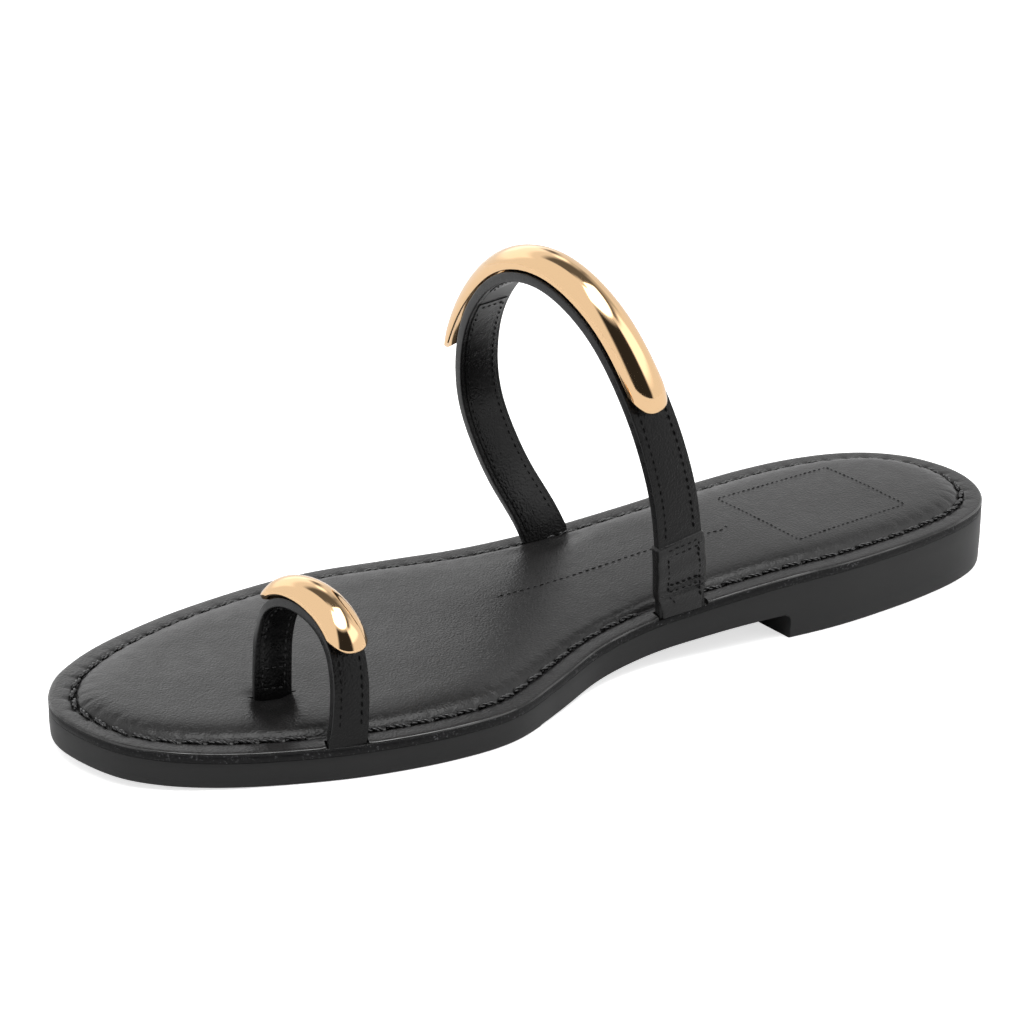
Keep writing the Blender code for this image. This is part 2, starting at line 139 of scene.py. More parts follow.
def springAt(x, spring):
    reach = (-sole["length"] / 2 + sole["springLength"] - np.asarray(x, float)) / sole["springLength"]
    return spring * np.maximum(reach, 0.0) ** 2


def bedHeight(x):  # height of the border at x
    rise = (sole["heelHeight"] - sole["ballThickness"]) * smoothStep(x, sole["riseStart"], sole["riseEnd"])
    return sole["ballThickness"] + rise + springAt(x, sole["bedSpring"])


def onBed(place, rise):  # (x, y) places at a height over the border
    return np.column_stack((place, bedHeight(place[:, 0]) + rise))


def onTread(place, rise):  # (x, y) places at a height over the tread
    return np.column_stack((place, springAt(place[:, 0], sole["treadSpring"]) + rise))


# mesh helpers: a piece starts as a grid of the bmesh module and is then laid on its place
def gridPiece(name, spots, look, uvs=None, looks=(), lookOf=None, sharp=40):
    rows, columns = spots.shape[0] - 1, spots.shape[1] - 1
    bm = bmesh.new()
    uvLayer = bm.loops.layers.uv.new("UVMap")
    bmesh.ops.create_grid(bm, x_segments=columns, y_segments=rows, size=0.5, calc_uvs=True)
    for face in bm.faces:
        middle = face.calc_center_median()
        i, j = int((middle.x + 0.5) * columns), int((middle.y + 0.5) * rows)
        if lookOf is not None:
            face.material_index = lookOf(i, j)
        if uvs is not None:
            for loop in face.loops:
                a, b = round((loop.vert.co.x + 0.5) * columns), round((loop.vert.co.y + 0.5) * rows)
                loop[uvLayer].uv = uvs[b, a]
    for vert in bm.verts:
        vert.co = spots[round((vert.co.y + 0.5) * rows), round((vert.co.x + 0.5) * columns)] * mm
    bmesh.ops.remove_doubles(bm, verts=bm.verts, dist=1e-6)
    openEdges = [edge for edge in bm.edges if edge.is_boundary]
    if openEdges:
        bmesh.ops.holes_fill(bm, edges=openEdges, sides=0)
    bmesh.ops.recalc_face_normals(bm, faces=bm.faces)
    return finishedObject(name, bm, [look, *looks], sharp)


def finishedObject(name, bm, looks, sharp=40):
    mesh = bpy.data.meshes.new(name)
    bm.to_mesh(mesh)
    bm.free()
    obj = bpy.data.objects.new(name, mesh)
    bpy.context.scene.collection.objects.link(obj)
    for look in looks:
        mesh.materials.append(look)
    mesh.shade_smooth()
    mesh.set_sharp_from_angle(angle=math.radians(sharp))
    return obj


def settled(obj, nodes):
    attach(obj, "root")
    if nodes:
        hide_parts(*nodes)
    return obj


# materials
def newLook(name, color, roughness, specular=0.5, metallic=0.0):
    look = bpy.data.materials.new(name)
    look.use_nodes = True
    nodes, links = look.node_tree.nodes, look.node_tree.links
    shader = nodes["Principled BSDF"]
    shader.inputs["Base Color"].default_value = (*color, 1)
    shader.inputs["Roughness"].default_value = roughness
    shader.inputs["Specular IOR Level"].default_value = specular
    shader.inputs["Metallic"].default_value = metallic
    return look, nodes, links, shader


def addNode(nodes, kind, **values):
    node = nodes.new(kind)
    for key, value in values.items():
        if key in node.inputs:
            node.inputs[key].default_value = value
        else:
            setattr(node, key, value)
    return node


def objectCoords(nodes):
    return addNode(nodes, "ShaderNodeTexCoord").outputs["Object"]


def noiseAt(nodes, links, coords, scale, detail=3.0, rough=0.5, distortion=0.0):
    noise = addNode(
        nodes, "ShaderNodeTexNoise", Scale=scale, Detail=detail, Roughness=rough, Distortion=distortion)
    links.new(coords, noise.inputs["Vector"])
    return noise.outputs["Fac"]


def grey(value):
    return (value, value, value)


def ramp(nodes, links, value, stops):
    node = nodes.new("ShaderNodeValToRGB")
    elements = node.color_ramp.elements
    while len(elements) < len(stops):
        elements.new(0.5)
    for element, (place, color) in zip(elements, stops):
        element.position = place
        element.color = (*color, 1)
    links.new(value, node.inputs["Fac"])
    return node.outputs["Color"]


def varied(nodes, links, value, socket, start, end):  # start and end are (value, level) pairs
    stops = [(place, grey(level)) for place, level in (start, end)]
    links.new(ramp(nodes, links, value, stops), socket)


def mathNode(nodes, links, operation, *values):
    node = addNode(nodes, "ShaderNodeMath", operation=operation)
    for socket, value in zip(node.inputs, values):
        if isinstance(value, (int, float)):
            socket.default_value = value
        else:
            links.new(value, socket)
    return node.outputs[0]


def bumpChain(nodes, links, shader, layers):  # layers are (height output, strength, distance in metres)
    last = None
    for height, strength, distance in layers:
        bump = addNode(nodes, "ShaderNodeBump", Strength=strength, Distance=distance)
        links.new(height, bump.inputs["Height"])
        if last is not None:
            links.new(last, bump.inputs["Normal"])
        last = bump.outputs["Normal"]
    links.new(last, shader.inputs["Normal"])


def leatherLook(name, dark, light, roughness, grain, creases, specular):
    look, nodes, links, shader = newLook(name, dark, roughness, specular)
    coords = objectCoords(nodes)
    tone = noiseAt(nodes, links, coords, 45.0, 4.0, 0.6)
    links.new(ramp(nodes, links, tone, ((0.35, dark), (0.68, light))), shader.inputs["Base Color"])
    push = addNode(nodes, "ShaderNodeTexNoise", Scale=380.0, Detail=2.0)
    spread = addNode(nodes, "ShaderNodeVectorMath", operation="SCALE", Scale=0.0012)
    warped = addNode(nodes, "ShaderNodeVectorMath", operation="ADD")
    pores = addNode(nodes, "ShaderNodeTexVoronoi", feature="SMOOTH_F1", Scale=2100.0, Randomness=1.0)
    links.new(coords, push.inputs["Vector"])
    links.new(push.outputs["Color"], spread.inputs[0])
    links.new(coords, warped.inputs[0])
    links.new(spread.outputs[0], warped.inputs[1])
    links.new(warped.outputs[0], pores.inputs["Vector"])
    fine = noiseAt(nodes, links, warped.outputs[0], 2600.0, 2.0, 0.5)
    folds = noiseAt(nodes, links, coords, 170.0, 4.0, 0.65, 0.6)
    sheen = noiseAt(nodes, links, coords, 260.0, 4.0, 0.6)
    varied(nodes, links, sheen, shader.inputs["Roughness"], (0.3, roughness - 0.03), (0.7, roughness + 0.05))
    bumpChain(nodes, links, shader, (
        (folds, 0.5, creases * mm),
        (pores.outputs["Distance"], 1.0, grain * mm),
        (fine, 0.5, grain * 0.5 * mm),
    ))
    return look


def edgePaintLook():
    look, nodes, links, shader = newLook("edgePaint", (0.02, 0.02, 0.021), 0.5, specular=0.20)
    coords = objectCoords(nodes)
    speckle = noiseAt(nodes, links, coords, 1900.0, 3.0, 0.7)
    patches = noiseAt(nodes, links, coords, 160.0, 3.0, 0.6)
    share = mathNode(nodes, links, "MULTIPLY", patches, 0.3)
    mixed = mathNode(nodes, links, "MULTIPLY_ADD", speckle, 0.75, share)
    stops = ((0.46, (0.003, 0.003, 0.0033)), (0.60, (0.008, 0.008, 0.0085)), (0.72, (0.11, 0.11, 0.115)))
    links.new(ramp(nodes, links, mixed, stops), shader.inputs["Base Color"])
    varied(nodes, links, patches, shader.inputs["Roughness"], (0.3, 0.38), (0.7, 0.6))
    bumpChain(nodes, links, shader, ((speckle, 0.55, 0.10 * mm), (patches, 0.3, 0.15 * mm)))
    return look


def rimLook():  # burnished rim of the cover, glossy in stretches
    look, nodes, links, shader = newLook("burnishedRim", (0.012, 0.0118, 0.0118), 0.18)
    coords = objectCoords(nodes)
    stretch = noiseAt(nodes, links, coords, 70.0, 4.0, 0.7)
    varied(nodes, links, stretch, shader.inputs["Roughness"], (0.40, 0.13), (0.62, 0.34))
    varied(nodes, links, stretch, shader.inputs["Specular IOR Level"], (0.40, 1.0), (0.62, 0.4))
    bumpChain(nodes, links, shader, ((noiseAt(nodes, links, coords, 900.0, 2.0, 0.5), 0.3, 0.05 * mm),))
    return look


def strapEdgeLook():  # painted and polished edges of the straps
    look, nodes, links, shader = newLook("strapEdge", (0.008, 0.008, 0.0085), 0.3)
    wave = noiseAt(nodes, links, objectCoords(nodes), 420.0, 3.0, 0.6)
    varied(nodes, links, wave, shader.inputs["Roughness"], (0.3, 0.22), (0.7, 0.42))
    bumpChain(nodes, links, shader, ((wave, 0.5, 0.12 * mm),))
    return look


def rubberLook():
    look, nodes, links, shader = newLook("outsoleRubber", (0.010, 0.010, 0.0102), 0.42, specular=0.36)
    coords = objectCoords(nodes)
    cloud = noiseAt(nodes, links, coords, 30.0, 5.0, 0.6)
    fine = noiseAt(nodes, links, coords, 2200.0, 2.0, 0.5)
    wave = noiseAt(nodes, links, coords, 85.0, 2.0, 0.5)
    stops = ((0.3, (0.008, 0.008, 0.0082)), (0.7, (0.014, 0.014, 0.0143)))
    links.new(ramp(nodes, links, cloud, stops), shader.inputs["Base Color"])
    varied(nodes, links, cloud, shader.inputs["Roughness"], (0.3, 0.36), (0.7, 0.50))
    bumpChain(nodes, links, shader, ((wave, 0.12, 0.4 * mm), (fine, 0.10, 0.03 * mm)))
    return look


def goldLook():
    look, nodes, links, shader = newLook("polishedGold", (0.86, 0.58, 0.33), 0.06, metallic=1.0)
    coords = objectCoords(nodes)
    cloud = noiseAt(nodes, links, coords, 120.0, 4.0, 0.6)
    varied(nodes, links, cloud, shader.inputs["Roughness"], (0.3, 0.055), (0.7, 0.10))
    wave = noiseAt(nodes, links, coords, 60.0, 1.0, 0.4)
    bumpChain(nodes, links, shader, ((wave, 0.04, 0.4 * mm),))
    return look


def threadLook(name, color, roughness, specular):
    look, nodes, links, shader = newLook(name, color, roughness, specular)
    fuzz = noiseAt(nodes, links, objectCoords(nodes), 3200.0, 2.0, 0.6)
    stops = ((0.35, color), (0.75, tuple(2.2 * c for c in color)))
    links.new(ramp(nodes, links, fuzz, stops), shader.inputs["Base Color"])
    bumpChain(nodes, links, shader, ((fuzz, 0.4, 0.05 * mm),))
    return look


# grain and creases are the depths of the relief in millimetres
coverLeather = leatherLook(
    "coverLeather", dark=(0.0090, 0.0087, 0.0087), light=(0.0145, 0.0140, 0.0140),
    roughness=0.34, grain=0.080, creases=0.13, specular=0.46)
strapLeather = leatherLook(
    "strapLeather", dark=(0.0026, 0.0025, 0.0026), light=(0.0046, 0.0044, 0.0046),
    roughness=0.32, grain=0.12, creases=0.44, specular=0.23)
keeperLeather = leatherLook(
    "keeperLeather", dark=(0.0052, 0.0050, 0.0051), light=(0.0085, 0.0082, 0.0084),
    roughness=0.31, grain=0.10, creases=0.34, specular=0.38)
liningLeather = leatherLook(
    "liningLeather", dark=(0.0014, 0.0014, 0.0015), light=(0.0026, 0.0025, 0.0027),
    roughness=0.28, grain=0.08, creases=0.45, specular=0.26)
edgePaint = edgePaintLook()
burnishedRim = rimLook()
strapEdge = strapEdgeLook()
outsoleRubber = rubberLook()
polishedGold = goldLook()
waxedThread = threadLook("waxedThread", (0.007, 0.007, 0.0075), roughness=0.22, specular=0.7)
fineThread = threadLook("fineThread", (0.0035, 0.0035, 0.0038), roughness=0.30, specular=0.5)
blackThread = threadLook("blackThread", (0.0014, 0.0014, 0.0015), roughness=0.40, specular=0.16)
print("materials ready")


# the sole's lines: columns that run from the edge inwards, ten to a stitch
channel = {
    "inset": 5.3, "stitches": 98, "perStitch": 10, "straightInset": 15.0, "middleEnds": (-84.0, 88.0),
}
notch = {"depth": 0.86, "inset": 3.2, "margin": 0.35, "rim": 0.16, "rimReach": 0.8, "thinRim": 0.3}


def outlineLoop():
    def spot(along, side):
        return ((along - 0.5) * sole["length"], side * sole["ballWidth"])

    lateral = [spot(along, side) for along, side, _ in outlineRows]
    medial = [spot(along, -side) for along, _, side in reversed(outlineRows)]
    loop = curveThrough(
        [spot(0, sole["toeTipSide"]), *lateral, spot(1, sole["heelEndSide"]), *medial], 24, closed=True)
    return relaxed(evenly(loop, 1100, closed=True), 30, closed=True)


def halfLines():  # both halves of the stitch channel from the toe on, each row (x, y, inward x, inward y)
    edge = outlineLoop()
    along = np.roll(edge, -1, 0) - np.roll(edge, 1, 0)
    along /= np.linalg.norm(along, axis=1)[:, None]
    inward = np.column_stack((along[:, 1], -along[:, 0]))
    line = np.hstack((edge + inward * channel["inset"], inward))
    toe, heel = int(np.argmin(line[:, 0])), int(np.argmax(line[:, 0]))
    count = len(line)
    lateral = line[np.arange(toe, toe + (heel - toe) % count + 1) % count]
    medial = line[np.arange(heel, heel + (toe - heel) % count + 1) % count][::-1]
    return lateral, medial


def shareAlong(half, shares):
    reach = distances(half[:, :2])
    return sampled(half, reach, np.asarray(shares) * reach[-1])


def shareOf(half, point):  # share of the half at which the point stands
    reach = distances(half[:, :2])
    nearest = int(np.argmin(np.linalg.norm(half[:, :2] - point, axis=1)))
    return reach[nearest] / reach[-1]


lateralHalf, medialHalf = halfLines()
medialLength = distances(medialHalf[:, :2])[-1]


def notchShares():  # start and end of the notch at the near foot of each strap
    made = []
    for rows, strap in ((toeRows, toeStrap), (instepRows, instepStrap)):
        foot, turn = np.array(rows[0][:2]), math.radians(rows[0][3])
        width = np.array((math.cos(turn), math.sin(turn))) * (strap["width"] / 2 + notch["margin"])
        made.append((shareOf(medialHalf, foot - width), shareOf(medialHalf, foot + width)))
    return made


notches = notchShares()


def soleColumns():
    perHalf = channel["stitches"] // 2 * channel["perStitch"]
    shares = list(np.linspace(0.0, 1.0, perHalf + 1))
    for start, end in notches:
        for step in (-0.9, -0.45, -0.15, -0.03, 0.03):
            shares += [start + step / medialLength, end - step / medialLength]
    shares = np.array(sorted(shares))
    lateral, medial = shareAlong(lateralHalf, shares), shareAlong(medialHalf, shares)
    ring = np.vstack((lateral[:-1], medial[:0:-1]))
    place = np.concatenate((shares[:-1], shares[:0:-1]))
    side = np.concatenate((np.ones(len(shares) - 1), -np.ones(len(shares) - 1)))
    return ring, place, side


columnLine, columnShare, columnSide = soleColumns()
columnCount = len(columnLine)
partner = (-np.arange(columnCount)) % columnCount


def ringAt(inset):  # (x, y) of a ring at a distance inside the sole's edge
    return columnLine[:, :2] + columnLine[:, 2:] * (inset - channel["inset"])


def innerRing(share):  # 0 is the last straight inset, 1 the middle line, which ends short of toe and heel
    outer = ringAt(channel["straightInset"])
    middle = (outer + outer[partner]) / 2
    order = np.argsort(middle[:, 0])
    x = np.clip(middle[:, 0], *channel["middleEnds"])
    y = np.interp(x, middle[order, 0], middle[order, 1])
    return outer + (np.column_stack((x, y)) - outer) * share


def closedColumns(rings):  # (rings, columns + 1, 3) with the first column again at the end
    spots = np.array(rings)
    return np.concatenate((spots, spots[:, :1]), axis=1)


# the padded leather cover
cover = {
    "crown": 2.5, "puckers": 0.24, "gathers": 0.035, "unevenness": 0.08, "unevenPitch": 38.0,
    "trough": 0.8, "troughPlace": 0.0, "troughReach": 17.0, "padStart": (6.0, 11.0),
    "padWidth": 12.0, "edgeLength": 560.0,
}
toeDip = {  # the valley round the toe slot, and the slot's lip
    "depth": 2.1, "middle": -0.5, "halfWidth": 1.6, "sideReach": 2.4, "nearReach": 9.0, "farReach": 2.0,
    "lip": 1.1, "lipPlace": 1.0, "lipReach": 2.4,
}
instepDip = {"depth": 0.9, "place": (14.0, 19.5), "reach": (9.0, 5.0)}
coverProfile = (  # inset from the edge, rise over the border
    (0.04, -0.90), (0.0, -0.42), (0.13, -0.15), (0.45, 0.0), (1.2, 0.05), (2.2, 0.06), (3.15, 0.05),
    (3.25, 0.05), (4.0, 0.02), (4.5, -0.08), (4.8, -0.30), (5.05, -0.52), (5.35, -0.62), (5.65, -0.50),
    (5.9, -0.15), (6.2, 0.22), (6.7, 0.72), (7.5, 1.22), (8.7, 1.64), (10.3, 1.95), (12.3, 2.15),
    (15.0, 2.28),
)
innerShares = np.linspace(0.0, 1.0, 25)[1:]


def waveField(x, y, length, seed):  # a smooth uneven field, about -1 to 1
    field = np.zeros_like(x)
    draw = np.random.default_rng(seed)
    for _ in range(9):
        turn, phase = draw.uniform(0, 2 * math.pi, 2)
        pitch = length * draw.uniform(0.7, 1.5)
        field += np.sin(2 * math.pi * (x * math.cos(turn) + y * math.sin(turn)) / pitch + phase)
    return field / 3.0


def slotValley(x, y):  # the pad dips round the toe slot, most on its near side, with a raised lip
    turn = math.radians(toeRows[-1][3])
    dx, dy = x - toeRows[-1][0], y - toeRows[-1][1]
    across = dx * math.cos(turn) + dy * math.sin(turn)
    towards = dx * math.sin(turn) - dy * math.cos(turn)
    sides = bell(np.maximum(np.abs(across - toeDip["middle"]) - toeDip["halfWidth"], 0), toeDip["sideReach"])
    slot = bell(towards, np.where(towards > 0, toeDip["nearReach"], toeDip["farReach"]))
    lip = bell(towards - toeDip["lipPlace"], toeDip["lipReach"])
    return sides * (toeDip["lip"] * lip - toeDip["depth"] * slot)


def footDip(x, y):  # soft dip where the far foot of the instep strap goes in
    (middleX, middleY), (reachX, reachY) = instepDip["place"], instepDip["reach"]
    return -instepDip["depth"] * bell(x - middleX, reachX) * bell(y - middleY, reachY)


def padRelief(x, y, inset):
    relief = slotValley(x, y) + footDip(x, y)
    relief -= cover["trough"] * bell(x - cover["troughPlace"], cover["troughReach"])
    relief += cover["unevenness"] * waveField(x, y, cover["unevenPitch"], 3)
    return smoothStep(inset, *cover["padStart"]) * relief


def makeCover():
    stitchPhase = columnShare * (channel["stitches"] // 2)
    hole = np.maximum(np.cos(2 * math.pi * stitchPhase), 0)  # 1 where the thread goes down
    bend = np.linalg.norm(columnLine[:, 2:] - np.roll(columnLine[:, 2:], 6, 0), axis=1)
    bend = relaxed(bend, 40, closed=True)
    bend = np.clip(bend / bend.max(), 0, 1)
    inNotch, rim = np.zeros(columnCount, bool), np.zeros(columnCount)
    for start, end in notches:
        inside = (columnSide < 0) & (columnShare > start) & (columnShare < end)
        inNotch |= inside
        reach = np.minimum(np.abs(columnShare - start), np.abs(columnShare - end)) * medialLength
        rim += np.where((columnSide < 0) & ~inside, bell(reach, notch["rimReach"]), 0.0)
    openNotch = inside  # only the last notch, at the instep, is open to the side

    insets = [channel["straightInset"] + cover["padWidth"], channel["straightInset"]]
    rings = [onBed(innerRing(share), -sole["cover"]) for share in (1.0, 0.0)]
    for inset, rise in coverProfile:
        place = ringAt(inset)
        x, y = place.T
        lift = np.full(columnCount, rise)
        border = bell(inset - 4.4, 1.5) if inset > 0.2 else 0.0
        pad = bell(inset - 7.0, 1.6)
        lift -= cover["puckers"] * hole ** 2 * ((0.35 + bend) * border + (0.25 + bend) * pad)
        if inset > 5.8:
            lift += cover["gathers"] * bell(inset - 8.0, 2.6) * waveField(x, y, 2.6, 5)
        if inset < notch["inset"] and rise > coverProfile[0][1]:
            lift += notch["rim"] * rim * (1.0 if inset > 0.05 else 0.5)
            lift = np.where(inNotch if inset > notch["thinRim"] else openNotch, -notch["depth"], lift)
        rings.append(onBed(place, lift + padRelief(x, y, inset)))
        insets.append(inset)
    edgeRise = coverProfile[-1][1]
    for share in innerShares:
        place = innerRing(share)
        lift = edgeRise + (cover["crown"] - edgeRise) * math.sin(math.pi / 2 * share)
        rings.append(onBed(place, lift + padRelief(*place.T, cover["padStart"][1])))
        insets.append(channel["straightInset"] + cover["padWidth"] * share)
    around = np.linspace(0.0, cover["edgeLength"], columnCount + 1)
    uvs = np.stack(np.meshgrid(around / 100.0, np.array(insets) / 100.0), axis=-1)
    looksByRow = {2: 1, 3: 2, 4: 2}  # the painted edge, then the burnished rim
    piece = gridPiece(
        "footbedCover", closedColumns(rings), coverLeather, uvs, [edgePaint, burnishedRim],
        lambda i, j: looksByRow.get(j, 0), sharp=50)
    settled(piece, ["footbed"])
    return piece


footbedCover = makeCover()
print("cover made")


# insole board and outsole
def makeBoard():
    low, high = -sole["band"], -sole["cover"] - 0.02
    rings = [onBed(innerRing(share), low) for share in (1.0, 0.0)]
    for inset, rise in ((0.06, low), (0.0, low + 0.10), (0.0, high - 0.10), (0.07, high)):
        rings.append(onBed(ringAt(inset), rise))
    rings += [onBed(innerRing(share), high) for share in (0.0, 1.0)]
    piece = gridPiece("boardEdge", closedColumns(rings), edgePaint)
    return settled(piece, ["insole_board"])


def waistProfile():  # (x, z) round the space that is cut away under the waist
    start, end, fillet = sole["waistStart"], sole["heelBreast"], sole["breastFillet"]
    profile = [(start, -2.0)]
    for x in np.linspace(start, end - fillet, 22):
        share = (x - start) / (end - start)
        thickness = sole["waistThickness"] + (sole["breastThickness"] - sole["waistThickness"]) * share ** 3
        profile.append((x, float(bedHeight(x)) - thickness))
    top = profile[-1][1]
    for turn in np.linspace(0, math.pi / 2, 7)[1:]:
        profile.append((end - fillet + fillet * math.sin(turn), top - fillet + fillet * math.cos(turn)))
    return profile + [(end, -2.0)]


def waistCutter():
    profile, halfDepth = waistProfile(), 60.0
    bm = bmesh.new()
    bmesh.ops.create_circle(bm, cap_ends=True, segments=len(profile), radius=1.0)
    caps = list(bm.faces)
    for vert, (x, z) in zip(caps[0].verts, profile):
        vert.co = Vector((x, -halfDepth, z)) * mm
    made = bmesh.ops.extrude_face_region(bm, geom=caps)
    pulled = [item for item in made["geom"] if isinstance(item, bmesh.types.BMVert)]
    bmesh.ops.translate(bm, vec=(0, 2 * halfDepth * mm, 0), verts=pulled)
    bmesh.ops.rotate(bm, cent=(0, 0, 0), matrix=Matrix.Rotation(sole["heelTurn"], 3, "Z"), verts=bm.verts)
    bmesh.ops.recalc_face_normals(bm, faces=bm.faces)
    return finishedObject("waistCutter", bm, [outsoleRubber])


def makeOutsole():
    top, wallTop = -sole["band"] - 0.02, -sole["band"] - 0.17
    rings = [onTread(innerRing(share), 0.0) for share in (1.0, 0.0)]
    for inset, rise in ((sole["treadEdge"], 0.0), (0.32, 0.08), (0.12, 0.25), (0.0, 0.6)):
        rings.append(onTread(ringAt(inset), rise))
    for share in (0.25, 0.5, 0.75):  # the side wall
        place = ringAt(-0.10 * math.sin(math.pi * share))
        low, high = onTread(place, 0.6), onBed(place, wallTop)
        rings.append(low + (high - low) * share)
    for inset, rise in ((0.0, wallTop), (0.04, top - 0.04), (0.14, top)):
        rings.append(onBed(ringAt(inset), rise))
    rings += [onBed(innerRing(share), top) for share in (0.0, 1.0)]
    piece = gridPiece("outsoleBody", closedColumns(rings), outsoleRubber)
    cutter = waistCutter()
    carve = piece.modifiers.new("waist", "BOOLEAN")
    carve.operation, carve.solver, carve.object = "DIFFERENCE", "EXACT", cutter
    carved = bpy.data.meshes.new_from_object(piece.evaluated_get(bpy.context.evaluated_depsgraph_get()))
    piece.modifiers.clear()
    piece.data = carved
    carved.shade_smooth()
    carved.set_sharp_from_angle(angle=math.radians(35))
    bpy.data.objects.remove(cutter, do_unlink=True)
    return settled(piece, ["outsole"])


makeBoard()
makeOutsole()
print("sole made")


# straps
class Strip:  # middle line of a strap, and the directions of its width and of its outer face
    def __init__(self, rows, rounds):
        dense = relaxed(evenly(curveThrough(rows, 16), 420), rounds)
        self.line, self.turn, self.tilt = dense[:, :3], np.radians(dense[:, 3]), np.radians(dense[:, 4])
        reach = distances(self.line)
        self.length = reach[-1]
        self.shares = reach / self.length

    def place(self, shares):
        return sampled(self.line, self.shares, shares)

    def at(self, shares):  # places, width directions and outward directions
        shares = np.atleast_1d(shares)
        along = self.place(np.minimum(shares + 0.008, 1.0)) - self.place(np.maximum(shares - 0.008, 0.0))
        along /= np.linalg.norm(along, axis=1)[:, None]
        turn, tilt = np.interp(shares, self.shares, self.turn), np.interp(shares, self.shares, self.tilt)
        width = np.column_stack((np.cos(tilt) * np.cos(turn), np.cos(tilt) * np.sin(turn), np.sin(tilt)))
        width -= along * (width * along).sum(1)[:, None]
        width /= np.linalg.norm(width, axis=1)[:, None]
        return self.place(shares), width, np.cross(width, along)

    def on(self, shares, across, out):  # places across and out from the middle line, and outward directions
        middle, width, outward = self.at(shares)
        across, out = np.atleast_1d(across)[:, None], np.atleast_1d(out)[:, None]
        return middle + width * across + outward * out, outward

    def shareAtHeight(self, height):
        climb = int(np.argmax(self.line[:, 2]))
        return float(np.interp(height, self.line[:climb, 2], self.shares[:climb]))


instepStrip = Strip(instepRows, instepStrap["relax"])
toeStrip = Strip(toeRows, toeStrap["relax"])


def roundedSection(width, thickness, ease, perCorner=5):  # closed (across, out) ring with eased corners
    pairs = []
    for sx, sy, start in ((1, -1, -90), (1, 1, 0), (-1, 1, 90), (-1, -1, 180)):
        for step in range(perCorner):
            turn = math.radians(start + 90 * step / (perCorner - 1))
            pairs.append((
                sx * (width / 2 - ease) + ease * math.cos(turn),
                sy * (thickness / 2 - ease) + ease * math.sin(turn),
            ))
    return np.array(pairs + pairs[:1])


def makeStrapBody(name, strip, strap, node):
    across, out = roundedSection(strap["width"], strap["thickness"], 0.42).T
    belly = 0.16 * (1 - (2 * across / strap["width"]) ** 2)  # the leather swells between its edges
    out = out + np.where(out > 0, belly, -0.3 * belly)
    spots = np.array([strip.on(share, across, out)[0] for share in np.linspace(0, 1, strap["sections"])])
    for end in (0, -1):
        spots[end, :, 2] = bedHeight(spots[end, :, 0]) - sole["cover"]
    edgeColumns = (2, 3, 4, 5, 6, 12, 13, 14, 15, 16)  # these run round the strap's two edges
    piece = gridPiece(
        name, spots, strapLeather, looks=[strapEdge], lookOf=lambda i, j: int(i in edgeColumns))
    return settled(piece, [node])


def makeLining(
        name, strip, strap, start, end, look=liningLeather, inset=1.25, height=0.34, level=0.0, slant=0.0):
    count = max(int((end - start) * strap["sections"] * 1.4), 6)
    across, out = roundedSection(strap["width"] - 2 * inset, height, 0.15, 4).T
    out = out - (strap["thickness"] / 2 + height / 2 - 0.06 + level)
    spots = []
    for k, share in enumerate(np.linspace(start, end, count)):
        lean = slant * (1 - k / (count - 1)) ** 6 / strip.length
        shares = np.clip(share + lean * across / (strap["width"] / 2), 0, 1)
        spots.append(strip.on(shares, across, out)[0])
    return settled(gridPiece(name, np.array(spots), look), [])


makeStrapBody("instepStrapBody", instepStrip, instepStrap, "instep_strap")
makeStrapBody("toeStrapBody", toeStrip, toeStrap, "toe_strap")
liningSeam = {"far": 0.628, "near": 0.585, "slant": 1.6}
makeLining(
    "instepLiningFar", instepStrip, instepStrap, liningSeam["far"], 0.975, slant=liningSeam["slant"])
makeLining("instepLiningNear", instepStrip, instepStrap, 0.03, liningSeam["near"])
makeLining(
    "instepLiningJoint", instepStrip, instepStrap, liningSeam["near"] - 0.01, liningSeam["far"] + 0.012,
    look=outsoleRubber, inset=1.5, height=0.2, level=-0.08)
makeLining("toeLining", toeStrip, toeStrap, 0.06, 0.93, inset=1.0, height=0.3)
print("straps made")


# keeper tab round the near foot of the instep strap
keeper = {
    "low": 0.3, "height": 20.0, "wall": 0.36, "gap": 0.12, "waist": 6.0, "taper": 1.3, "sections": 90,
    "dip": 1.1, "ripple": 0.10, "creases": ((5.4, 0.42, 0.45), (7.4, 0.25, 0.40)),  # height, depth, reach
}
keeperFoot = float(bedHeight(instepRows[0][0]))


def keeperShare(height):
    return instepStrip.shareAtHeight(keeperFoot + height)


def keeperSection(narrow, thin, ease):
    spare = 2 * (keeper["gap"] + keeper["wall"])
    return roundedSection(
        instepStrap["width"] + spare - narrow, instepStrap["thickness"] + spare - thin, ease, 6).T


def keeperRing(share, across, out, drop):  # a ring round the strap that hangs lower by the drop
    return instepStrip.on(np.clip(share - drop / instepStrip.length, 0, 1), across, out)[0]


